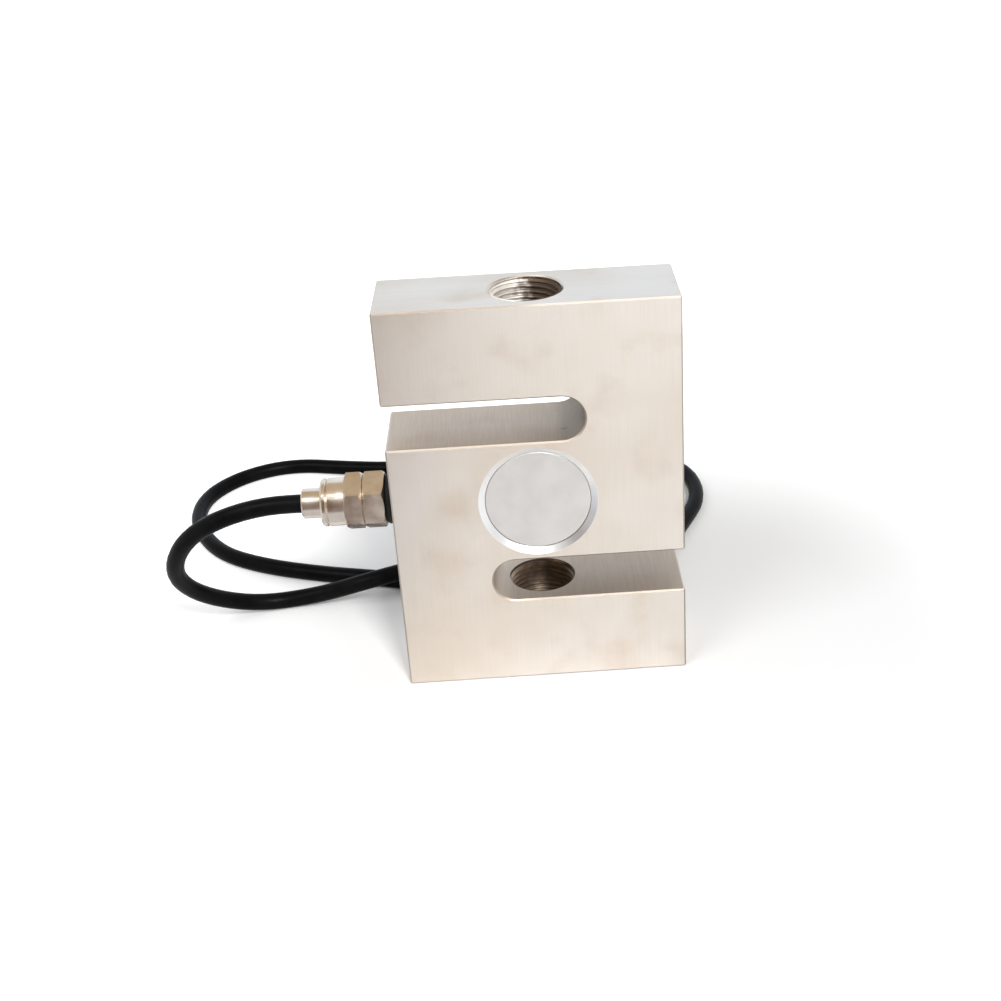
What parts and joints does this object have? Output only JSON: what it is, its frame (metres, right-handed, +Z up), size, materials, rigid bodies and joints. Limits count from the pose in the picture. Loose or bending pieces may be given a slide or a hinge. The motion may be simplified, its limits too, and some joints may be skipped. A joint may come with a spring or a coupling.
{
  "type": "s type load cell",
  "caption": "S shaped steel load cell with two slots open at opposite sides, a sealed round gauge bore, a threaded hole in its top and bottom faces, and a shielded cable in a side gland.",
  "frame": {"origin": "centre of the bottom face, on the axis of the lower threaded hole", "axes": "+Z up along both threaded holes; +X to the right across the S, away from the gland; +Y from the front face to the rear face"},
  "size_m": [0.1728, 0.1815, 0.108],
  "materials": {
    "nickel_steel": "satin nickel plate over fine grinding grain",
    "cover_steel": "satin stainless sheet",
    "gland_metal": "nickel plated brass, turned and bright",
    "seal_rubber": "plain black seal rubber",
    "steel_washer": "plain steel",
    "jacket": "smooth satin black cable jacket",
    "tie_nylon": "black moulded nylon",
    "shrink_tube": "black heat shrink tube",
    "gauge_foil": "amber film with a metal foil grid",
    "board": "green laminate with tinned pads",
    "chip": "dark ceramic chip",
    "wire_red": "red wire insulation",
    "wire_black": "black wire insulation",
    "wire_green": "green wire insulation",
    "wire_white": "white wire insulation",
    "tinned_copper": "tinned copper strands"
  },
  "bodies": {
    "root": {"spring_element": "nickel_steel", "front_cover_disc": "cover_steel", "rear_cover_disc": "cover_steel", "strain_gauge_1": "gauge_foil", "strain_gauge_2": "gauge_foil", "strain_gauge_3": "gauge_foil", "strain_gauge_4": "gauge_foil", "terminal_board": "board", "zero_resistor": "chip", "span_resistor": "chip", "inner_lead_red": "wire_red", "inner_lead_black": "wire_black", "inner_lead_green": "wire_green", "inner_lead_white": "wire_white", "seal_bush": "seal_rubber", "thrust_washer": "steel_washer", "clamp_sleeve": "gland_metal", "gland_o_ring": "seal_rubber", "gland_body": "gland_metal", "gland_cap_nut": "gland_metal", "cable": "jacket", "cable_coil": "jacket", "cable_tail": "jacket", "coil_tie_left": "tie_nylon", "coil_tie_right": "tie_nylon", "end_sleeve": "shrink_tube", "core_red": "wire_red", "core_black": "wire_black", "core_green": "wire_green", "core_white": "wire_white", "screen_wire": "tinned_copper", "core_tips": "tinned_copper"}
  },
  "joints": []
}
